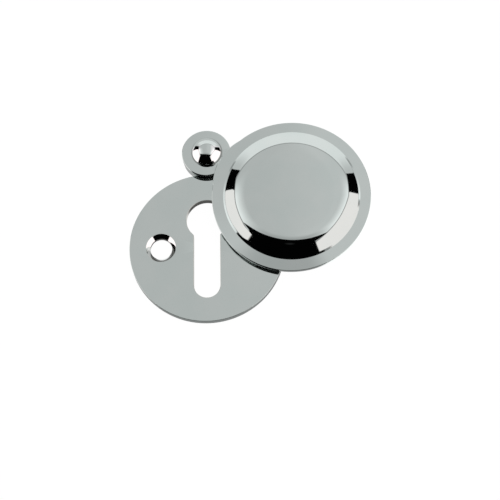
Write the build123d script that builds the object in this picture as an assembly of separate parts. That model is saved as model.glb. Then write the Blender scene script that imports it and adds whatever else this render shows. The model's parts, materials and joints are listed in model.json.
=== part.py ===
from build123d import *
from math import asin, atan2, cos, radians, sin, tan
import os

# A round keyhole escutcheon with a swinging cover, lying on its back.
# The origin is the middle of the plate on its back face. Z points out of the door,
# Y points up to the pivot. The cover is shown swung aside.

# Plate
plate_radius = 16.0
plate_thickness = 1.5

# Keyhole, measured from the middle of the plate
key_round_radius = 4.25
key_round_rise = 5.95
key_slot_width = 5.4
key_slot_depth = 10.95
key_corner_round = 0.5

# Two countersunk screw holes, level with the middle of the plate
screw_spacing = 18.95
screw_hole_radius = 2.25
screw_sink_radius = 3.07
screw_sink_angle = 90.0

# Rivet
head_radius = 3.0
head_height = 2.03
head_lip = 0.7
shank_radius = 1.6
tail_flare = 0.5
tail_recess = 0.1

# Ear of the plate and lug of the cover, both round the rivet
lug_rim = 2.1
lug_step = 0.2
lug_overhang = 0.15
ear_bite = 0.67
boss_height = 0.7

# Cover, from its rim in to its crown
cover_overhang = 0.4
cover_wall = 1.0
flange_width = 2.05
flange_fall = 7.0
foot_fillet = 1.2
bevel_angle = 33.0
bevel_run = 1.64
shoulder_radius = 1.2
shoulder_end_angle = 25.5
bend_radius = 9.0
crown_radius = 160.0
swell_radius = 11.0
cover_swing = 60.0

# Broken edges on the front
edge_break = 0.15
key_edge_break = 0.1

# Fits
running_clearance = 0.05
seat_clearance = 0.02
running_gap = 0.08
swell_gap = 0.3

# Sizes that follow from the ones above
lug_radius = head_radius + lug_rim
lug_thickness = cover_wall - lug_step
ear_radius = lug_radius - lug_overhang
ear_height = plate_thickness + boss_height
pivot_y = plate_radius + ear_radius - ear_bite
cover_radius = plate_radius + cover_overhang
cover_base = ear_height + running_gap
head_seat = cover_base + lug_thickness + running_gap
swell_reach = pivot_y - head_radius - swell_gap


def disc(radius, height):
    return extrude(Circle(radius), height)


def broken_disc(radius, height):
    """A disc with its front edge broken."""
    solid = disc(radius, height)
    return chamfer(solid.edges().group_by(Axis.Z)[-1], edge_break)


def keyhole_outline():
    """A round with a slot running down from it, softened where the two meet."""
    slot_end_radius = key_slot_width / 2
    slot_end = slot_end_radius - key_slot_depth
    slot_length = key_round_rise - slot_end
    outline = Pos(0, key_round_rise) * Circle(key_round_radius)
    outline += Pos(0, slot_end + slot_length / 2) * Rectangle(key_slot_width, slot_length)
    outline += Pos(0, slot_end) * Circle(slot_end_radius)
    corner_drop = (key_round_radius**2 - slot_end_radius**2) ** 0.5
    corner_height = key_round_rise - corner_drop
    corners = outline.vertices().sort_by(lambda vertex: abs(vertex.Y - corner_height))[:2]
    return fillet(corners, key_corner_round)


def backplate():
    plate = broken_disc(plate_radius, plate_thickness)

    # The keyhole, with its front edge broken
    plate -= extrude(keyhole_outline(), plate_thickness)
    front = plate.faces().sort_by(Axis.Z)[-1]
    plate = chamfer(front.inner_wires()[0].edges(), key_edge_break)

    # Countersunk screw holes
    sink_depth = (screw_sink_radius - screw_hole_radius) / tan(radians(screw_sink_angle / 2))
    sink_middle = plate_thickness - sink_depth / 2
    screw_hole = disc(screw_hole_radius, plate_thickness)
    screw_hole += Pos(0, 0, sink_middle) * Cone(screw_hole_radius, screw_sink_radius, sink_depth)
    for side in (-1, 1):
        plate -= Pos(side * screw_spacing / 2, 0, 0) * screw_hole

    # The ear stands up as a boss under the cover's lug
    plate += Pos(0, pivot_y, 0) * broken_disc(ear_radius, ear_height)

    # The rivet's hole, flared at the back for its peened tail
    bore_radius = shank_radius + seat_clearance
    flare_depth = tail_flare + tail_recess
    rivet_hole = disc(bore_radius, ear_height)
    rivet_hole += Pos(0, 0, flare_depth / 2) * Cone(bore_radius + flare_depth, bore_radius, flare_depth)
    return plate - Pos(0, pivot_y, 0) * rivet_hole


def slope(tilt):
    """The way a section runs, in towards the axis and up at a tilt."""
    return Vector(-cos(tilt), sin(tilt))


def turn(radius, start_tilt, end_tilt):
    """How far in and up a section goes while it turns from one tilt to another."""
    run_in = abs(sin(end_tilt) - sin(start_tilt))
    rise = abs(cos(end_tilt) - cos(start_tilt))
    return Vector(-run_in, rise) * radius


def cover_section():
    """Half of the cover's section, in radius and height above the flange's back."""
    fall = radians(flange_fall)
    bevel = radians(bevel_angle)
    shoulder_tilt = radians(shoulder_end_angle)

    # The flange falls a little towards its rim, and runs on as far as it ever swells
    rim_top = Vector(cover_radius, cover_wall)
    swell_top = rim_top + Vector(1, -tan(fall)) * (swell_reach - cover_radius)
    foot_start = rim_top + Vector(-1, tan(fall)) * flange_width
    bevel_foot = foot_start + turn(foot_fillet, fall, bevel)
    bevel_top = bevel_foot + Vector(-1, tan(bevel)) * bevel_run
    shoulder_end = bevel_top + turn(shoulder_radius, bevel, shoulder_tilt)

    # A soft bend leads from the shoulder into the shallow crown, which ends level at the axis
    crown_sine = (shoulder_end.X - bend_radius * sin(shoulder_tilt)) / (crown_radius - bend_radius)
    crown_tilt = asin(crown_sine)
    bend_end = shoulder_end + turn(bend_radius, shoulder_tilt, crown_tilt)
    crown_top = bend_end + turn(crown_radius, crown_tilt, 0)

    # The recess in the back follows the bevel, one wall inside it
    recess_floor = shoulder_end.Y - cover_wall
    recess_mouth = bevel_foot.X + bevel_foot.Y / tan(bevel) - cover_wall / sin(bevel)
    recess_end = recess_mouth - recess_floor / tan(bevel)

    return make_face(
        [
            Polyline(
                crown_top,
                (0, recess_floor),
                (recess_end, recess_floor),
                (recess_mouth, 0),
                (swell_reach, 0),
                swell_top,
                foot_start,
            ),
            TangentArc(foot_start, bevel_foot, tangent=slope(fall)),
            Line(bevel_foot, bevel_top),
            TangentArc(bevel_top, shoulder_end, tangent=slope(bevel)),
            TangentArc(shoulder_end, bend_end, tangent=slope(shoulder_tilt)),
            TangentArc(bend_end, crown_top, tangent=slope(crown_tilt)),
        ]
    )


def rim_form(radius):
    """The room inside a rim of this radius, leaning in from where the rim's edge is broken."""
    rim_height = cover_wall - edge_break
    lean = cover_wall * 5
    form = Pos(0, 0, -rim_height) * disc(radius, rim_height * 2)
    return form + Pos(0, 0, rim_height + lean / 2) * Cone(radius, radius - lean, lean)


def swing_cover():
    cover = revolve(Plane.XZ * cover_section(), Axis.Z)

    # The round rim swells out towards the pivot
    cover &= rim_form(cover_radius) + Pos(0, swell_reach - swell_radius, 0) * rim_form(swell_radius)

    # The lug is a thinner disc that grows out of the rim
    cover += Pos(0, pivot_y, 0) * broken_disc(lug_radius, lug_thickness)
    cover -= Pos(0, pivot_y, 0) * disc(shank_radius + running_clearance, cover_wall)

    # Hung from the pivot and swung aside
    return Pos(0, pivot_y, cover_base) * Rot(0, 0, cover_swing) * Pos(0, -pivot_y, 0) * cover


def pivot_rivet():
    head_top = head_seat + head_height
    lip_top = head_seat + head_lip
    dome_rise = head_height - head_lip
    dome_tilt = 2 * atan2(dome_rise, head_radius)
    flare_top = tail_recess + tail_flare
    section = [
        Polyline(
            (0, head_top),
            (0, tail_recess),
            (shank_radius + tail_flare, tail_recess),
            (shank_radius, flare_top),
            (shank_radius, head_seat),
            (head_radius, head_seat),
            (head_radius, lip_top),
        ),
        TangentArc((head_radius, lip_top), (0, head_top), tangent=slope(dome_tilt)),
    ]
    return Pos(0, pivot_y, 0) * revolve(Plane.XZ * make_face(section), Axis.Z)


os.makedirs("parts", exist_ok=True)
export_step(backplate(), "parts/backplate.step")
export_step(swing_cover(), "parts/swing_cover.step")
export_step(pivot_rivet(), "parts/pivot_rivet.step")
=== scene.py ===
import json
from math import asin, atan2, cos, pi, radians, sin, sqrt, tan
import bmesh
import bpy
from mathutils import Matrix, Vector


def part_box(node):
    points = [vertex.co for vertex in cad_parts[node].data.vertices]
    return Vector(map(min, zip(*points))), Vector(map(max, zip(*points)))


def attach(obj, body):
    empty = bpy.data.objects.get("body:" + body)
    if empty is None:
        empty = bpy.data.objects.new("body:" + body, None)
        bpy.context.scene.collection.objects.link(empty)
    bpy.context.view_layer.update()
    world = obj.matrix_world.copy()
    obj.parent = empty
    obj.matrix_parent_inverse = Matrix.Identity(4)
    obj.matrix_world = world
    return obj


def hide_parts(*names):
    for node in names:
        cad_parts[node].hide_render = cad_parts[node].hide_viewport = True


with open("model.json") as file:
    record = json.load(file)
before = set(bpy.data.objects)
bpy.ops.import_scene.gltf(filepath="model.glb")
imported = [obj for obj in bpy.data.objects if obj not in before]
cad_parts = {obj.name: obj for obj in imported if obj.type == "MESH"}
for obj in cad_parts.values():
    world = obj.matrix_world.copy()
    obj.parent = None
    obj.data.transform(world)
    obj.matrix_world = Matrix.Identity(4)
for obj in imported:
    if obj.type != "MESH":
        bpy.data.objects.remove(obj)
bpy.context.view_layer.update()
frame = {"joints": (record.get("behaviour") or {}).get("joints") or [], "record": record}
mm = 0.001
degree = 180 / pi  # degrees in one radian

# what the frame already knows, in millimetres
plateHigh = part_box("backplate")[1] / mm
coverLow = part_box("swing_cover")[0] / mm
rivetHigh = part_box("pivot_rivet")[1] / mm
pivot = Vector(frame["joints"][0]["pos_m"]) / mm
screwHoles = [mount for mount in frame["record"]["mounts"] if mount["name"] == "screw_holes"][0]["dims"]
plateRadius = plateHigh.x
earRadius = plateHigh.y - pivot.y
earHeight = plateHigh.z
headRadius = rivetHigh.x - pivot.x


class Wire:
    def __init__(self, tree, socket):
        self.tree = tree
        self.socket = socket

    @staticmethod
    def add(tree, kind, settings=None, sockets=None, output=0):
        node = tree.nodes.new(kind)
        for key, value in (settings or {}).items():
            setattr(node, key, value)
        for key, value in (sockets or {}).items():
            if isinstance(value, Wire):
                tree.links.new(value.socket, node.inputs[key])
            else:
                node.inputs[key].default_value = value
        return Wire(tree, node.outputs[output] if len(node.outputs) else None)

    def math(self, operation, first, second=0.0):
        return Wire.add(self.tree, "ShaderNodeMath", {"operation": operation}, {0: first, 1: second})

    def __add__(self, other):
        return self.math("ADD", self, other)

    def __radd__(self, other):
        return self.math("ADD", other, self)

    def __sub__(self, other):
        return self.math("SUBTRACT", self, other)

    def __rsub__(self, other):
        return self.math("SUBTRACT", other, self)

    def __mul__(self, other):
        return self.math("MULTIPLY", self, other)

    def __rmul__(self, other):
        return self.math("MULTIPLY", other, self)

    def __truediv__(self, other):
        return self.math("DIVIDE", self, other)

    def __rtruediv__(self, other):
        return self.math("DIVIDE", other, self)


def rise(value, zone, unit=1.0):  # 0 before the zone, 1 after it, smooth between
    sockets = {"Value": value, "From Min": zone[0] * unit, "From Max": zone[1] * unit}
    return Wire.add(value.tree, "ShaderNodeMapRange", {"interpolation_type": "SMOOTHSTEP"}, sockets)


def blend(first, second, share):  # from the first value to the second
    return first + (second - first) * share


def lesser(first, second):
    return first.math("MINIMUM", first, second)


def greater(first, second):
    return first.math("MAXIMUM", first, second)


def sizeOf(value):
    return value.math("ABSOLUTE", value)


def lengthOf(x, y):
    return x.math("SQRT", x * x + y * y)


def mixColour(tree, factor, first, second):
    sockets = {0: factor, 6: first, 7: second}  # the Mix node's sockets for colours, and 2 for their result
    return Wire.add(tree, "ShaderNodeMix", {"data_type": "RGBA"}, sockets, 2)


def splitPlace(tree, place, axes):
    return [Wire.add(tree, "ShaderNodeSeparateXYZ", None, {0: place}, axis) for axis in axes]


finishLook = {
    "bright": {
        "tint": (0.634, 0.692, 0.676, 1.0),
        "paleTint": (0.66, 0.708, 0.692, 1.0),
        "roughness": 0.035,
        "bump": 0.05,
    },
    "satin": {
        "tint": (0.5, 0.53, 0.52, 1.0),
        "paleTint": (0.58, 0.6, 0.585, 1.0),
        "roughness": 0.24,
        "bump": 0.25,
    },
    "bore": {
        "tint": (0.56, 0.56, 0.52, 1.0),
        "paleTint": (0.62, 0.62, 0.59, 1.0),
        "roughness": 0.1,
        "bump": 0.15,
    },
    "bare": {
        "tint": (0.2, 0.2, 0.19, 1.0),
        "paleTint": (0.26, 0.26, 0.25, 1.0),
        "roughness": 0.25,
        "bump": 0.25,
    },
    # painted highlight: the countersink's cone has a much brighter tint than the rest of the chrome, with
    # painted shade on its front half
    "sink": {
        "tint": (0.93, 0.94, 0.935, 1.0),
        "paleTint": (0.96, 0.965, 0.96, 1.0),
        "frontShadeTint": (0.58, 0.6, 0.59, 1.0),
        "frontZone": (0.1, 0.6),
        "roughness": 0.05,
        "bump": 0.06,
    },
    "rivet": {
        "tint": (0.634, 0.692, 0.676, 1.0),
        "paleTint": (0.66, 0.708, 0.692, 1.0),
        # painted highlight: the flank tint brightens both flanks of the head
        "flankHighlightTint": (0.97, 0.97, 0.97, 1.0),
        "flankZone": (0.9, 1.4),
        "flankEnd": (0.7, 1.1),
        "roughness": 0.035,
        "bump": 0.05,
    },
}

# what the buff leaves, and the ring of painted shade round the rivet's head, with noise scales per metre and
# the ring in millimetres
buffMarks = {
    "tone": {"Scale": 160.0, "Detail": 3.0},
    "waves": {"Scale": 420.0, "Detail": 1.0},
    "lines": {"Scale": 9000.0, "Detail": 4.0},
    "hairs": {"Scale": 900.0, "Detail": 6.0},
    "hairLay": {"Rotation": (0.0, 0.0, 0.6), "Scale": (14.0, 0.6, 14.0)},
    "noiseMiddle": 0.5,
    "toneZone": (0.3, 0.7),
    "hairZone": (0.62, 0.72),
    "toneRough": 0.02,
    "lineRough": 0.012,
    "hairRough": 0.02,
    "waveHeight": 0.6,
    "lineHeight": 0.08,
    "hairHeight": 0.05,
    "bumpDepth": 0.00002,
    # painted shade: a dark ring round the rivet's head where it meets the lug
    "ringShade": 0.7,
    "ringZone": (0.1, 0.36),
}


def chromeFinish(name, kind, centre, seat=None):  # the seat is where a head sits, given a ring of painted shade, as (x, y, radius)
    look, marks = finishLook[kind], buffMarks
    material = bpy.data.materials.new(name)
    material.use_nodes = True
    tree = material.node_tree
    shader = tree.nodes["Principled BSDF"]
    coords = Wire.add(tree, "ShaderNodeTexCoord", output="Object")
    toCentre = [-part * mm for part in centre]
    place = Wire.add(tree, "ShaderNodeMapping", None, {"Vector": coords, "Location": toCentre})
    x, y = splitPlace(tree, place, "XY")

    # slow tone, soft waves, fine turned lines and hairline scratches from the buff
    tone = Wire.add(tree, "ShaderNodeTexNoise", None, {"Vector": place, **marks["tone"]})
    waves = Wire.add(tree, "ShaderNodeTexNoise", None, {"Vector": place, **marks["waves"]})
    lineSockets = {"W": lengthOf(x, y), **marks["lines"]}
    lines = Wire.add(tree, "ShaderNodeTexNoise", {"noise_dimensions": "1D"}, lineSockets)
    hairPlace = Wire.add(tree, "ShaderNodeMapping", None, {"Vector": place, **marks["hairLay"]})
    hairs = Wire.add(tree, "ShaderNodeTexNoise", None, {"Vector": hairPlace, **marks["hairs"]})
    hairMask = rise(hairs, marks["hairZone"])

    roughness = look["roughness"] + (tone - marks["noiseMiddle"]) * marks["toneRough"]
    roughness = roughness + (lines - marks["noiseMiddle"]) * marks["lineRough"]
    roughness = roughness + hairMask * marks["hairRough"]
    tree.links.new(roughness.socket, shader.inputs["Roughness"])
    colour = mixColour(tree, rise(tone, marks["toneZone"]), look["tint"], look["paleTint"])
    if "flankHighlightTint" in look:  # painted highlight: both flanks of the head brightened
        flank = rise(sizeOf(x), look["flankZone"], mm) * (1 - rise(y, look["flankEnd"], mm))
        colour = mixColour(tree, flank, colour, look["flankHighlightTint"])
    if "frontShadeTint" in look:  # painted shade: the front half of a countersink, which faces the back, is darker
        colour = mixColour(tree, rise(0.0 - y, look["frontZone"], mm), colour, look["frontShadeTint"])
    if seat:  # painted shade: a thin dark ring round the head, in the bare metal's tint
        offsets = [(axis - (at - middle) * mm) / mm for axis, at, middle in zip((x, y), seat, centre)]
        ring = marks["ringShade"] * (1 - rise(lengthOf(*offsets) - seat[2], marks["ringZone"]))
        colour = mixColour(tree, ring, colour, finishLook["bare"]["tint"])
    tree.links.new(colour.socket, shader.inputs["Base Color"])
    height = waves * marks["waveHeight"] + lines * marks["lineHeight"] + hairMask * marks["hairHeight"]
    bumpSockets = {"Strength": look["bump"], "Distance": marks["bumpDepth"], "Height": height}
    bump = Wire.add(tree, "ShaderNodeBump", None, bumpSockets)
    tree.links.new(bump.socket, shader.inputs["Normal"])
    shader.inputs["Metallic"].default_value = 1.0
    return material


coverSwing = 60.0  # degrees from closed, as packed
coverMiddle = pivot + Matrix.Rotation(radians(coverSwing), 3, "Z") @ Vector((0.0, -pivot.y, 0.0))
plateCentre = (0.0, 0.0, 0.0)
coverCentre = (coverMiddle.x, coverMiddle.y, 0.0)
rivetCentre = (pivot.x, pivot.y, 0.0)
shadeRingShift = (0.15, 0.12)  # the painted shade ring reaches most behind the head and to its right
headShadeRing = (pivot.x + shadeRingShift[0], pivot.y + shadeRingShift[1], headRadius)
plateChrome = chromeFinish("plateChrome", "bright", plateCentre)
plateSatin = chromeFinish("plateSatin", "satin", plateCentre)
plateBore = chromeFinish("plateBore", "bore", plateCentre)
plateBare = chromeFinish("plateBare", "bare", plateCentre)
plateSink = chromeFinish("plateSink", "sink", plateCentre)
coverChrome = chromeFinish("coverChrome", "bright", coverCentre, headShadeRing)
coverSatin = chromeFinish("coverSatin", "satin", coverCentre)
rivetChrome = chromeFinish("rivetChrome", "rivet", rivetCentre)
rivetSatin = chromeFinish("rivetSatin", "satin", rivetCentre)
print("finishes made")

# shared by all pieces: gaps in metres, the hub in millimetres, the angle in degrees
meshRules = {
    "latheGap": 1e-7,
    "cutGap": 3e-7,
    "sliver": 1e-7,
    "hub": 10.0,  # radius of the circle that the lathe follows
    "edgeAngle": 28.0,
    "normalWeight": 50,
    "backFacing": -0.5,
    "slopeShares": (0.03, 0.5, 0.97, 1.0),
    "cornerSteps": 5,
}


# shaping helpers, with sections as (radius, height) points in millimetres
def arcOn(points, radius, startTilt, endTilt, steps):  # carries a section on, inwards and up, round an arc
    run, height = points[-1]
    for step in range(1, steps + 1):
        tilt = startTilt + (endTilt - startTilt) * step / steps
        inward = radius * abs(sin(tilt) - sin(startTilt))
        upward = radius * abs(cos(tilt) - cos(startTilt))
        points.append((run - inward, height + upward))


def slopeOn(points, length, tilt):  # carries it on straight, with close rings at both ends to shade it flat
    run, height = points[-1]
    for share in meshRules["slopeShares"]:
        points.append((run - length * share, height + length * share * tan(tilt)))


def softCorners(corners, steps=meshRules["cornerSteps"]):  # a section from (radius, height, corner round)
    points = []
    count = len(corners)
    for index, (run, height, size) in enumerate(corners):
        here = Vector((run, height))
        if not size:
            points.append((run, height))
            continue
        before = (Vector(corners[index - 1][:2]) - here).normalized()
        after = (Vector(corners[(index + 1) % count][:2]) - here).normalized()
        half = before.angle(after) / 2
        middle = here + (before + after).normalized() * size / sin(half)
        first = here + before * size / tan(half) - middle
        last = here + after * size / tan(half) - middle
        swing = first.angle_signed(last)
        for step in range(steps + 1):
            spoke = first.copy()
            spoke.rotate(Matrix.Rotation(-swing * step / steps, 2))
            points.append(tuple(middle + spoke))
    return points


def turnedTree():  # turns a section into a closed skin of one material
    tree = bpy.data.node_groups.new("turnedPiece", "GeometryNodeTree")
    kinds = {"Section": "Geometry", "Segments": "Int", "Hub": "Float", "Finish": "Material"}
    names = {}
    for label, kind in kinds.items():
        socket = tree.interface.new_socket(label, in_out="INPUT", socket_type="NodeSocket" + kind)
        names[label] = socket.identifier
    tree.interface.new_socket("Turned", in_out="OUTPUT", socket_type="NodeSocketGeometry")
    inputs = {label: Wire.add(tree, "NodeGroupInput", output=label) for label in kinds}
    section = Wire.add(tree, "GeometryNodeMeshToCurve", None, {"Mesh": inputs["Section"]})
    pathSockets = {"Resolution": inputs["Segments"], "Radius": inputs["Hub"]}
    path = Wire.add(tree, "GeometryNodeCurvePrimitiveCircle", {"mode": "RADIUS"}, pathSockets)
    skin = Wire.add(tree, "GeometryNodeCurveToMesh", None, {"Curve": path, "Profile Curve": section})
    weldSockets = {"Geometry": skin, "Distance": meshRules["latheGap"]}
    welded = Wire.add(tree, "GeometryNodeMergeByDistance", None, weldSockets)
    whole = Wire.add(tree, "GeometryNodeRealizeInstances", None, {"Geometry": welded})
    finishSockets = {"Geometry": whole, "Material": inputs["Finish"]}
    finished = Wire.add(tree, "GeometryNodeSetMaterial", None, finishSockets)
    Wire.add(tree, "NodeGroupOutput", None, {"Turned": finished})
    return tree, names


turnTree, turnSockets = turnedTree()


def addPiece(name, mesh):
    piece = bpy.data.objects.new(name, mesh)
    bpy.context.scene.collection.objects.link(piece)
    return piece


def dropPiece(piece):
    mesh = piece.data
    bpy.data.objects.remove(piece)
    bpy.data.meshes.remove(mesh)


def bakeModifiers(piece):  # the evaluated shape as the piece's own plain mesh
    bpy.context.view_layer.update()
    depsgraph = bpy.context.evaluated_depsgraph_get()
    mesh = bpy.data.meshes.new_from_object(piece.evaluated_get(depsgraph))
    piece.modifiers.clear()
    old = piece.data
    piece.data = mesh
    bpy.data.meshes.remove(old)


def turned(name, section, place, material, segments):  # the section runs from the axis back to the axis
    hub = meshRules["hub"]
    mesh = bpy.data.meshes.new(name)
    edges = [(index, index + 1) for index in range(len(section) - 1)]
    mesh.from_pydata([((run - hub) * mm, -height * mm, 0.0) for run, height in section], edges, [])
    piece = addPiece(name, mesh)
    lathe = piece.modifiers.new("lathe", "NODES")
    lathe.node_group = turnTree
    lathe[turnSockets["Segments"]] = segments
    lathe[turnSockets["Hub"]] = hub * mm
    lathe[turnSockets["Finish"]] = material
    bakeModifiers(piece)
    outward(piece.data)
    piece.data.transform(Matrix.Translation(Vector(place) * mm))
    return piece


def outward(mesh):
    work = bmesh.new()
    work.from_mesh(mesh)
    bmesh.ops.recalc_face_normals(work, faces=work.faces)
    work.to_mesh(mesh)
    work.free()


def weld(mesh):  # closes up the slivers that a cut leaves
    work = bmesh.new()
    work.from_mesh(mesh)
    bmesh.ops.remove_doubles(work, verts=work.verts, dist=meshRules["cutGap"])
    bmesh.ops.dissolve_degenerate(work, edges=work.edges, dist=meshRules["sliver"])
    work.to_mesh(mesh)
    work.free()


def cut(piece, tool, operation):  # UNION or DIFFERENCE, the tool is used up
    knife = piece.modifiers.new("knife", "BOOLEAN")
    knife.operation = operation
    knife.solver = "EXACT"
    knife.material_mode = "TRANSFER"
    knife.object = tool
    bakeModifiers(piece)
    weld(piece.data)
    dropPiece(tool)


def smoothFinish(piece):
    mesh = piece.data
    mesh.polygons.foreach_set("use_smooth", [True] * len(mesh.polygons))
    mesh.set_sharp_from_angle(angle=radians(meshRules["edgeAngle"]))
    weighted = piece.modifiers.new("weighted", "WEIGHTED_NORMAL")
    weighted.mode = "FACE_AREA"
    weighted.weight = meshRules["normalWeight"]
    weighted.keep_sharp = True
    bakeModifiers(piece)


def satinBack(piece, material):  # what faces the door is left unpolished
    mesh = piece.data
    mesh.materials.append(material)
    for face in mesh.polygons:
        if face.normal.z < meshRules["backFacing"]:
            face.material_index = len(mesh.materials) - 1


def settle(piece, body, node, backMaterial):
    satinBack(piece, backMaterial)
    smoothFinish(piece)
    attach(piece, body)
    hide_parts(node)
    print(piece.name, "made,", len(piece.data.polygons), "faces")


plateShape = {
    "thickness": 1.5,
    "edgeRound": 0.09,
    "backRound": 0.05,
    "keyRadius": 4.25,
    "keyRise": 5.95,
    "keySlotWidth": 5.4,
    "keySlotDepth": 10.95,
    "keyCornerRound": 0.5,
    "keyEdgeRound": 0.1,
    "keyEdgeTurn": 82.0,
    "keyLift": 0.01,
    "keyFlare": 0.3,
    "sinkRadius": 3.07,
    "sinkAngle": 90.0,
    "sinkEdgeRound": 0.06,
    "sinkLift": 0.01,
    "wallTilt": 0.1,
    "boreRadius": 1.62,
    "flareDepth": 0.6,
    "flareReach": 0.5,
    "toolReach": 1.0,
    "segments": {"disc": 320, "ear": 160, "bore": 100, "hole": 128},
    "keySteps": {"top": 96, "corner": 16, "side": 8, "foot": 64, "edge": 5},
}


def plateDisc(radius, height):
    edge, back = plateShape["edgeRound"], plateShape["backRound"]
    corners = [(0.0, 0.0, 0), (radius, 0.0, back), (radius, height, edge), (0.0, height, 0)]
    return softCorners(corners)


def arcRound(loop, middle, radius, start, end, steps):  # carries a loop of (x, y) on round an arc
    for step in range(1, steps + 1):
        angle = start + (end - start) * step / steps
        loop.append((middle[0] + radius * cos(angle), middle[1] + radius * sin(angle)))


def lineOn(loop, end, steps):  # carries a loop on straight
    x, y = loop[-1]
    for step in range(1, steps + 1):
        loop.append((x + (end[0] - x) * step / steps, y + (end[1] - y) * step / steps))


def keyholeLoop(grow):  # the keyhole's outline, grown evenly
    shape, steps = plateShape, plateShape["keySteps"]
    big = shape["keyRadius"] + grow
    half = shape["keySlotWidth"] / 2 + grow
    corner = shape["keyCornerRound"] - grow
    riseY = shape["keyRise"]
    endY = shape["keySlotWidth"] / 2 - shape["keySlotDepth"]
    cornerX = half + corner
    cornerY = riseY - sqrt((big + corner) ** 2 - cornerX**2)
    touch = atan2(cornerY - riseY, cornerX)  # where the round hands over to the corner
    loop = [(big * cos(touch), riseY + big * sin(touch))]
    arcRound(loop, (0.0, riseY), big, touch, pi - touch, steps["top"])
    arcRound(loop, (-cornerX, cornerY), corner, -touch, 0.0, steps["corner"])
    lineOn(loop, (-half, endY), steps["side"])
    arcRound(loop, (0.0, endY), half, pi, 2 * pi, steps["foot"])
    lineOn(loop, (half, cornerY), steps["side"])
    arcRound(loop, (cornerX, cornerY), corner, pi, pi + touch, steps["corner"])
    return loop[:-1]  # the last point is the first one again


def keyholeTool():
    shape = plateShape
    edge, top, steps = shape["keyEdgeRound"], shape["thickness"], shape["keySteps"]["edge"]
    levels = [(0.0, -shape["toolReach"]), (0.0, top - edge)]  # as (growth, height)
    for step in range(1, steps + 1):
        angle = radians(shape["keyEdgeTurn"]) * step / steps
        levels.append((edge * (1 - cos(angle)), top - edge + edge * sin(angle)))
    grow, height = levels[-1]
    lift, slope = shape["keyLift"], radians(90.0 - shape["keyEdgeTurn"])
    levels.append((grow + lift / tan(slope), height + lift))  # on at the round's last slope, through the face
    levels.append((grow + shape["keyFlare"], top + shape["keyFlare"]))
    rings = [[(x * mm, y * mm, height * mm) for x, y in keyholeLoop(grow)] for grow, height in levels]
    count = len(rings[0])
    verts = [vert for ring in rings for vert in ring]
    faces = [list(range(count))[::-1], list(range(len(verts) - count, len(verts)))]
    for level in range(len(rings) - 1):
        low = level * count
        for index in range(count):
            after = (index + 1) % count
            faces.append((low + index, low + after, low + after + count, low + index + count))
    mesh = bpy.data.meshes.new("keyholeTool")
    mesh.from_pydata(verts, [], faces)
    mesh.materials.append(plateBore)
    outward(mesh)
    return addPiece("keyholeTool", mesh)


def makePlate():
    shape, segments = plateShape, plateShape["segments"]
    top, reach = shape["thickness"], shape["toolReach"]
    plate = turned("keyPlate", plateDisc(plateRadius, top), plateCentre, plateChrome, segments["disc"])
    ear = turned("ear", plateDisc(earRadius, earHeight), pivot, plateChrome, segments["ear"])
    cut(plate, ear, "UNION")

    # rivet hole, flared at the back
    bore, flare, below = shape["boreRadius"], shape["flareDepth"], shape["flareReach"]
    section = [
        (0.0, -below),
        (bore + flare + below, -below),
        (bore, flare),
        (bore, earHeight + reach),
        (0.0, earHeight + reach),
    ]
    cut(plate, turned("rivetTool", section, pivot, plateChrome, segments["bore"]), "DIFFERENCE")

    # countersunk screw holes
    hole, sink = screwHoles["hole_r_mm"], shape["sinkRadius"]
    sinkDepth = (sink - hole) / tan(radians(shape["sinkAngle"] / 2))
    section = softCorners(
        [
            (0.0, -reach, 0),
            (hole, -reach, 0),
            (hole, top - sinkDepth, 0),
            (sink, top, shape["sinkEdgeRound"]),
            (sink + reach, top + shape["sinkLift"], 0),
            (0.0, top + reach, 0),
        ]
    )
    for side in (-1, 1):
        place = (side * screwHoles["spacing_x_mm"] / 2, 0.0, 0.0)
        tool = turned("screwTool", section, place, plateSink, segments["hole"])
        tool.data.materials.append(plateBare)  # below the polished cone the hole's wall is bare
        for face in tool.data.polygons:
            face.material_index = int(abs(face.normal.z) < shape["wallTilt"])
        cut(plate, tool, "DIFFERENCE")
    cut(plate, keyholeTool(), "DIFFERENCE")
    settle(plate, "plate", "backplate", plateSatin)


makePlate()

coverShape = {
    "overhang": 0.4,
    "wall": 1.0,
    "flangeWidth": 2.25,
    "flangeFall": 9.0,
    "footFillet": 0.2,
    "footAngle": 21.8,
    "footRun": 0.36,
    "kneeFillet": 2.0,
    "bevelAngle": 33.0,
    "bevelRun": 1.2,
    "shoulderRadius": 1.2,
    "shoulderEndAngle": 25.5,
    "bendRadius": 9.0,
    "crownRadius": 160.0,
    "floorRound": 0.5,
    "mouthRound": 0.15,
    "backRound": 0.06,
    "rimRound": 0.1,
    "swellRadius": 11.0,
    "swellGap": 0.3,
    "frontSag": 0.17,
    "sagTurn": 21.0,
    "sagReach": 60.0,
    "sagFade": 30.0,
    "domeShift": (0.09, -0.07),
    "lugRadius": 5.1,
    "lugStep": 0.2,
    "lugRound": 0.16,
    "lugBackRound": 0.15,
    "boreRadius": 1.65,
    "boreReach": (-1.0, 2.0),
    "segments": {"cover": 320, "lug": 160, "bore": 96},
    "steps": {"foot": 5, "knee": 6, "shoulder": 18, "bend": 14, "crown": 10, "back": 6},
}


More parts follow.
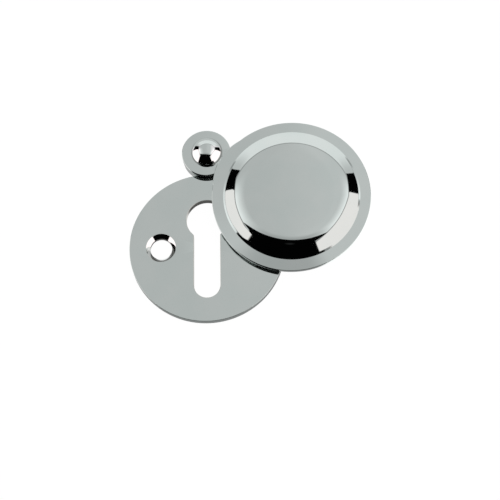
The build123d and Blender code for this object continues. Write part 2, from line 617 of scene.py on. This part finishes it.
def coverSection():
    shape, steps = coverShape, coverShape["steps"]
    radius = plateRadius + shape["overhang"]
    wall = shape["wall"]
    fall, foot, bevel, shoulder = (
        radians(shape[key]) for key in ("flangeFall", "footAngle", "bevelAngle", "shoulderEndAngle")
    )

    # front, from the foot of the flange up to the crown
    flangeTop = wall + shape["flangeWidth"] * tan(fall)
    outer = [(radius - shape["flangeWidth"], flangeTop)]
    arcOn(outer, shape["footFillet"], fall, foot, steps["foot"])
    slopeOn(outer, shape["footRun"], foot)
    arcOn(outer, shape["kneeFillet"], foot, bevel, steps["knee"])
    footRun, footHeight = outer[-1]
    slopeOn(outer, shape["bevelRun"], bevel)
    arcOn(outer, shape["shoulderRadius"], bevel, shoulder, steps["shoulder"])
    shoulderRun, shoulderHeight = outer[-1]
    bend, crown = shape["bendRadius"], shape["crownRadius"]
    crownTilt = asin((shoulderRun - bend * sin(shoulder)) / (crown - bend))
    arcOn(outer, bend, shoulder, crownTilt, steps["bend"])
    arcOn(outer, crown, crownTilt, 0.0, steps["crown"])
    outer[-1] = (0.0, outer[-1][1])

    # back, from the middle of the recess out to the rim and over it
    floor = shoulderHeight - wall
    mouth = footRun + footHeight / tan(bevel) - wall / sin(bevel)
    back = softCorners(
        [
            (0.0, floor, 0),
            (mouth - floor / tan(bevel), floor, shape["floorRound"]),
            (mouth, 0.0, shape["mouthRound"]),
            (radius, 0.0, shape["backRound"]),
            (radius, wall, shape["rimRound"]),
            (radius - shape["flangeWidth"], flangeTop, 0),
        ],
        steps["back"],
    )
    return back[:-1] + outer


def swellRim(mesh):  # swells the rim towards the pivot, lets its front hang and sets the dome off centre
    shape = coverShape
    width = shape["flangeWidth"]
    radius = plateRadius + shape["overhang"]
    foot = radius - width
    fall = tan(radians(shape["flangeFall"]))
    offset = pivot.y - headRadius - shape["swellGap"] - shape["swellRadius"]
    turn, reach, fade = (radians(shape[key]) for key in ("sagTurn", "sagReach", "sagFade"))
    for vert in mesh.vertices:
        spoke = (vert.co - coverMiddle * mm) / mm
        height = spoke.z - coverLow.z
        run = spoke.xy.length
        along = min(max((run - foot) / width, 0.0), 1.0)  # 0 at the flange's foot, 1 at the rim
        vert.co.x += shape["domeShift"][0] * (1 - along) * mm
        vert.co.y += shape["domeShift"][1] * (1 - along) * mm
        if run < foot:
            continue
        angle = atan2(spoke.y, spoke.x) - radians(90 + coverSwing)  # from the pivot's side
        swell = offset * cos(angle) + sqrt(shape["swellRadius"] ** 2 - (offset * sin(angle)) ** 2) - radius
        extra = max(swell, 0.0) * min((run - foot) / (width - shape["rimRound"]), 1.0)
        vert.co.x += spoke.x / run * extra * mm
        vert.co.y += spoke.y / run * extra * mm
        fromFront = abs(atan2(spoke.x, -spoke.y) + turn)  # the lowest place is a little left of the front
        sag = shape["frontSag"] * min(max((reach - fromFront) / fade, 0.0), 1.0)
        drop = fall * extra + sag * along
        vert.co.z -= drop * min(height / shape["wall"], 1.0) * mm


def makeCover():
    shape, segments = coverShape, coverShape["segments"]
    base = coverLow.z
    lugHeight = shape["wall"] - shape["lugStep"]
    place = (coverMiddle.x, coverMiddle.y, base)
    cover = turned("swingCover", coverSection(), place, coverChrome, segments["cover"])
    swellRim(cover.data)
    lugSection = softCorners(
        [
            (0.0, 0.0, 0),
            (shape["lugRadius"], 0.0, shape["lugBackRound"]),
            (shape["lugRadius"], lugHeight, shape["lugRound"]),
            (0.0, lugHeight, 0),
        ]
    )
    hang = (pivot.x, pivot.y, base)
    cut(cover, turned("lug", lugSection, hang, coverChrome, segments["lug"]), "UNION")
    bore, (low, high) = shape["boreRadius"], shape["boreReach"]
    boreSection = [(0.0, low), (bore, low), (bore, high), (0.0, high)]
    cut(cover, turned("boreTool", boreSection, hang, coverChrome, segments["bore"]), "DIFFERENCE")
    settle(cover, "cover", "swing_cover", coverSatin)


makeCover()

rivetShape = {
    "headHeight": 2.03,
    "headLip": 0.7,
    "headShift": 0.13,
    "lipRound": 0.05,
    "domeRound": 0.1,
    "shankRadius": 1.6,
    "shankMargin": 0.1,
    "seatMargin": 0.01,
    "tailFlare": 0.5,
    "tailRecess": 0.1,
    "tailRound": 0.05,
    "domeSteps": 36,
    "cornerSteps": 4,
    "segments": 192,
}


def makeRivet():
    shape = rivetShape
    head, lip, shank = headRadius, shape["headLip"], shape["shankRadius"]
    top = rivetHigh.z
    seat = top - shape["headHeight"]
    recess, flare = shape["tailRecess"], shape["tailFlare"]
    domeTilt = 2 * atan2(shape["headHeight"] - lip, head)
    dome = [(head, seat + lip)]
    arcOn(dome, head / sin(domeTilt), domeTilt, 0.0, shape["domeSteps"])
    dome[-1] = (0.0, top)
    corners = [
        (0.0, recess, 0),
        (shank + flare, recess, shape["tailRound"]),
        (shank, recess + flare, 0),
        (shank, seat, 0),
        (head, seat, shape["lipRound"]),
        (head, seat + lip, shape["domeRound"]),
    ]
    corners += [(run, height, 0) for run, height in dome[2:]]  # the corner's round takes the first two
    section = softCorners(corners, shape["cornerSteps"])
    rivet = turned("pivotRivet", section, rivetCentre, rivetChrome, shape["segments"])

    # the head was set a little to the right of its shank
    margin, clearOf = shape["seatMargin"], shank + shape["shankMargin"]
    for vert in rivet.data.vertices:
        spoke = vert.co / mm - pivot
        overSeat = spoke.z > seat + margin
        onSeat = spoke.z > seat - margin and spoke.xy.length > clearOf
        if overSeat or onSeat:
            vert.co.x += shape["headShift"] * mm
    settle(rivet, "plate", "pivot_rivet", rivetSatin)


makeRivet()

# tones that the metal mirrors, and zones in millimetres, or in degrees from the front for frontZone
tableLook = {
    "halfWidth": 250.0,
    "drop": 0.02,
    "white": (1.0, 1.0, 1.0, 1.0),
    "matte": (0.92, 0.92, 0.92, 1.0),
    "seen": 1.04,
    "shadowShare": 0.06,
    "front": 0.3,
    "sides": 1.35,
    "foot": 0.15,
    "lug": 0.5,
    "back": 0.7,
    "under": 0.9,
    "screw": 1.4,
    "keyTop": 0.12,
    "sinkBack": 0.3,
    "footZone": (0.24, 0.42),
    "underZone": (-3.0, -1.0),
    "frontZone": (30.0, 84.0),
    "lugZone": (15.4, 16.0),
    "lugEnd": (19.0, 20.5),
    "backZone": (22.5, 24.0),
    "coverZone": (12.5, 14.5),
    "coverEnd": (-6.5, -4.9),
    "screwZone": (5.0, 7.0),
    "keyTopZone": (7.3, 8.6),
    "sinkBackZone": (0.35, 0.8),
}


def makeTable():
    look = tableLook
    half, drop = look["halfWidth"] * mm, -look["drop"] * mm
    mesh = bpy.data.meshes.new("table")
    corners = [(-half, -half, drop), (half, -half, drop), (half, half, drop), (-half, half, drop)]
    mesh.from_pydata(corners, [], [(0, 1, 2, 3)])
    table = addPiece("table", mesh)
    material = bpy.data.materials.new("whiteTable")
    material.use_nodes = True
    tree = material.node_tree
    tree.nodes.clear()
    camera, through, mirrored = (
        Wire.add(tree, "ShaderNodeLightPath", output=f"Is {kind} Ray")
        for kind in ("Camera", "Transmission", "Glossy")
    )
    clear = camera + through

    # painted shade and light in the glow that the metal mirrors, beside the plate: dim in front, shaded round
    # the plate's foot and towards the lug and the back
    x, y = splitPlace(tree, Wire.add(tree, "ShaderNodeTexCoord", output="Object"), "XY")
    around = sizeOf(x.math("ARCTAN2", x, 0.0 - y)) * degree  # 0 in front, 180 behind
    away = lengthOf(x, y) / mm - plateRadius
    sides = blend(look["foot"], look["sides"], rise(away, look["footZone"]))
    besideLug = rise(y, look["lugZone"], mm) * (1 - rise(y, look["lugEnd"], mm))
    sides = blend(sides, look["lug"], besideLug)
    sides = blend(sides, look["back"], rise(y, look["backZone"], mm))
    beforeCover = rise(x, look["coverZone"], mm) * (1 - rise(y, look["coverEnd"], mm))
    dim = blend(look["front"], sides, rise(around, look["frontZone"]) * (1 - beforeCover))

    # painted shade and light under the plate: bright under the screw holes, dark under the keyhole's top and
    # the holes' backs
    atScrews = rise(sizeOf(x), look["screwZone"], mm)
    under = blend(look["under"], look["screw"], atScrews)
    under = blend(under, look["keyTop"], rise(y, look["keyTopZone"], mm))
    under = blend(under, look["sinkBack"], atScrews * rise(y, look["sinkBackZone"], mm))
    dim = blend(under, dim, rise(away, look["underZone"]))

    strength = clear * look["seen"] + mirrored * dim
    factor = lesser(clear + mirrored, 1.0) * (1 - look["shadowShare"])
    matte = Wire.add(tree, "ShaderNodeBsdfDiffuse", None, {"Color": look["matte"]})
    glow = Wire.add(tree, "ShaderNodeEmission", None, {"Color": look["white"], "Strength": strength})
    mixed = Wire.add(tree, "ShaderNodeMixShader", None, {0: factor, 1: matte, 2: glow})
    Wire.add(tree, "ShaderNodeOutputMaterial", None, {"Surface": mixed})
    mesh.materials.append(material)


makeTable()

# straight edges of the mirrored room: shares of across and behind, and an offset in degrees
roomEdges = {
    "ceilingLeft": (1.0, 0.18, 42.6),
    "ceilingFarLeft": (1.0, 0.0, 45.6),
    "ceilingRight": (-1.0, 0.59, 33.6),
    "ceilingFarRight": (-1.0, 0.0, 45.6),
    "ceilingFront": (0.1, 1.0, 0.0),
    "leftBack": (0.779, 1.0, -14.6),
    "rightBack": (-0.586, 1.0, -15.2),
    "leftSide": (-0.336, -1.0, 13.0),
    "rightSide": (0.159, -1.0, 16.3),
    "frontRight": (-0.125, -1.0, -9.9),
    "frontLeft": (-0.28, -1.0, -13.4),
    "frontMiddle": (0.0, -1.0, -11.3),
    "darkLeft": (1.0, -0.625, 31.6),
    "darkFarLeft": (1.0, 0.421, 42.0),
    "darkLowLeft": (1.0, -1.34, 0.0),
    "darkRight": (-1.0, -0.463, 8.7),
    "darkFarRight": (-1.0, 0.0, 28.5),
    "darkEar": (-1.2, 1.0, 44.1),
    "darkLowRight": (-1.0, -0.92, 0.0),
}

# its tones, and zones in degrees
roomLook = {
    "white": (1.0, 1.0, 1.0, 1.0),
    "sideWarmth": (1.07, 1.0, 0.99, 1.0),
    "ceiling": 0.635,
    "ceilingRight": 0.72,
    "ceilingFront": 0.5,
    "leftGlow": 0.6,
    "rightGlow": 0.5,
    "side": 1.07,
    "back": 1.0,
    "backEnds": 0.68,
    "dark": 0.0008,
    "glint": 0.016,
    "seam": 0.35,
    "backSeam": 0.6,
    "leftGlowReach": 27.0,
    "rightGlowReach": 21.0,
    "leftGlowPower": 1.3,
    "rightGlowPower": 1.4,
    "ceilingBack": 60.8,
    "backSeamIn": 1.4,
    "lowFrom": 60.0,
    "lensPlace": (-2.5, -20.2),
    "lensSquash": 2.0,
    "leastLength": 0.0001,
    "ceilingSoft": (-0.3, 0.3),
    "clothSoft": (-0.6, 0.6),
    "darkSoft": (-0.5, 0.5),
    "darkLeftSoft": (-1.3, 1.3),
    "seamSoft": (-1.0, 1.0),
    "halfSoft": (-1.0, 1.0),
    "glowEnd": (20.0, 40.0),
    "rightZone": (-8.0, 12.0),
    "frontZone": (-7.5, 1.5),
    "sideSeamZone": (0.5, 1.8),
    "backSeamZone": (0.5, 2.0),
    "backRightZone": (42.0, 58.0),
    "backLeftZone": (116.0, 132.0),
    "lensZone": (1.0, 5.0),
}


def makeStudio():
    look = roomLook
    world = bpy.data.worlds.new("studio")
    bpy.context.scene.world = world
    world.use_nodes = True
    tree = world.node_tree
    tree.nodes.clear()
    x, y, z = splitPlace(tree, Wire.add(tree, "ShaderNodeTexCoord", output="Generated"), "XYZ")
    lean = z.math("ARCCOSINE", z) * degree  # degrees away from straight up
    share = lean / greater(lengthOf(x, y), look["leastLength"])
    across = x * share  # degrees to the right of straight up
    behind = y * share  # degrees behind straight up
    around = y.math("ARCTAN2", y, x) * degree  # 0 right, 90 behind, 180 left
    edges = {}
    for name, (acrossShare, behindShare, offset) in roomEdges.items():
        edges[name] = across * acrossShare + behind * behindShare + offset

    # grey ceiling cloth that glows towards its sides and darkens to the front
    leftIn = lesser(edges["ceilingLeft"], edges["ceilingFarLeft"])
    rightIn = lesser(edges["ceilingRight"], edges["ceilingFarRight"])
    sideIn = lesser(leftIn, rightIn)
    backIn = look["ceilingBack"] - lean
    ceiling = rise(lesser(sideIn, backIn), look["ceilingSoft"])
    leftGlow = greater(1 - leftIn / look["leftGlowReach"], 0.0)
    rightGlow = greater(1 - rightIn / look["rightGlowReach"], 0.0)
    glow = look["leftGlow"] * leftGlow.math("POWER", leftGlow, look["leftGlowPower"])
    glow = glow + look["rightGlow"] * rightGlow.math("POWER", rightGlow, look["rightGlowPower"])
    glow = glow * (1 - rise(behind, look["glowEnd"]))
    grey = blend(look["ceiling"], look["ceilingRight"], rise(across, look["rightZone"]))
    grey = blend(look["ceilingFront"], grey, rise(edges["ceilingFront"], look["frontZone"]))
    ceilingLight = grey + glow

    # dark seams along the ceiling's sides and back
    sideSeam = 1 - rise(sizeOf(sideIn), look["sideSeamZone"])
    backSeam = look["backSeam"] * (1 - rise(sizeOf(backIn - look["backSeamIn"]), look["backSeamZone"]))
    sideSeam = sideSeam * rise(backIn, look["seamSoft"])
    backSeam = backSeam * rise(sideIn, look["seamSoft"])
    seam = greater(sideSeam, backSeam)

    # side cloths, back cloth, and the open corners between them
    leftBack, rightBack, leftSide, rightSide = (
        rise(edges[name], look["clothSoft"]) for name in ("leftBack", "rightBack", "leftSide", "rightSide")
    )
    backMiddle = rise(around, look["backRightZone"]) * (1 - rise(around, look["backLeftZone"]))
    backLight = blend(look["backEnds"], look["back"], backMiddle)
    toLeft = rise(0.0 - across, look["halfSoft"])
    side = leftSide * toLeft + rightSide * (1 - toLeft)
    outer = look["side"] * side + backLight * (leftBack * rightBack) + look["dark"]

    # dark open front, wider low down, with the lens as a faint glint in it
    front = greater(edges["frontRight"], greater(edges["frontLeft"], edges["frontMiddle"]))
    low = lean - look["lowFrom"]
    leftEdge = greater(edges["darkLeft"], edges["darkFarLeft"])
    leftEdge = greater(leftEdge, lesser(edges["darkLowLeft"], low))
    rightEdge = greater(edges["darkRight"], lesser(edges["darkFarRight"], edges["darkEar"]))
    rightEdge = greater(rightEdge, lesser(edges["darkLowRight"], low))
    wedge = rise(front, look["darkSoft"]) * rise(leftEdge, look["darkLeftSoft"])
    wedge = wedge * rise(rightEdge, look["darkSoft"])
    lensX, lensY = across - look["lensPlace"][0], behind - look["lensPlace"][1]
    fromLens = lensX.math("SQRT", lensX * lensX + lensY * lensY * look["lensSquash"])
    glint = look["dark"] + look["glint"] * (1 - rise(fromLens, look["lensZone"]))

    light = outer * (1 - ceiling) + ceilingLight * ceiling
    light = light * (1 - seam * (1 - look["seam"]))
    light = light * (1 - wedge) + glint * wedge
    colour = mixColour(tree, (1 - ceiling) * side, look["white"], look["sideWarmth"])
    camera = Wire.add(tree, "ShaderNodeLightPath", output="Is Camera Ray")
    shown = mixColour(tree, camera, colour, look["white"])  # the camera itself sees plain white
    strength = light * (1 - camera) + camera
    sky = Wire.add(tree, "ShaderNodeBackground", None, {"Color": shown, "Strength": strength})
    Wire.add(tree, "ShaderNodeOutputWorld", None, {"Surface": sky})


makeStudio()

# lengths in millimetres, angles in degrees
cameraPlace = {
    "target": (8.775, -0.445, 0.0),
    "distance": 300.0,
    "tilt": 19.95,
    "turn": 5.34,
    "roll": -6.54,
    "pixelsPerMm": 4.855,
    "imagePixels": 500,
    "sensorWidth": 36.0,
    "clipStart": 10.0,
}


def makeCamera():
    spot = cameraPlace
    tilt, turn, roll = (radians(spot[key]) for key in ("tilt", "turn", "roll"))
    back = Vector((sin(tilt) * sin(turn), -sin(tilt) * cos(turn), cos(tilt)))
    level = Vector((cos(turn), sin(turn), 0.0))
    upright = back.cross(level)
    right = cos(roll) * level + sin(roll) * upright
    up = cos(roll) * upright - sin(roll) * level
    lens = bpy.data.cameras.new("camera")
    lens.sensor_fit = "HORIZONTAL"
    lens.sensor_width = spot["sensorWidth"]
    lens.lens = spot["pixelsPerMm"] * spot["distance"] / spot["imagePixels"] * spot["sensorWidth"]
    lens.clip_start = spot["clipStart"] * mm
    camera = bpy.data.objects.new("camera", lens)
    bpy.context.scene.collection.objects.link(camera)
    eye = (Vector(spot["target"]) + back * spot["distance"]) * mm
    axes = Matrix((right, up, back)).transposed()
    camera.matrix_world = Matrix.Translation(eye) @ axes.to_4x4()
    bpy.context.scene.camera = camera


makeCamera()
bpy.context.scene.view_settings.view_transform = "Standard"
print("studio set")
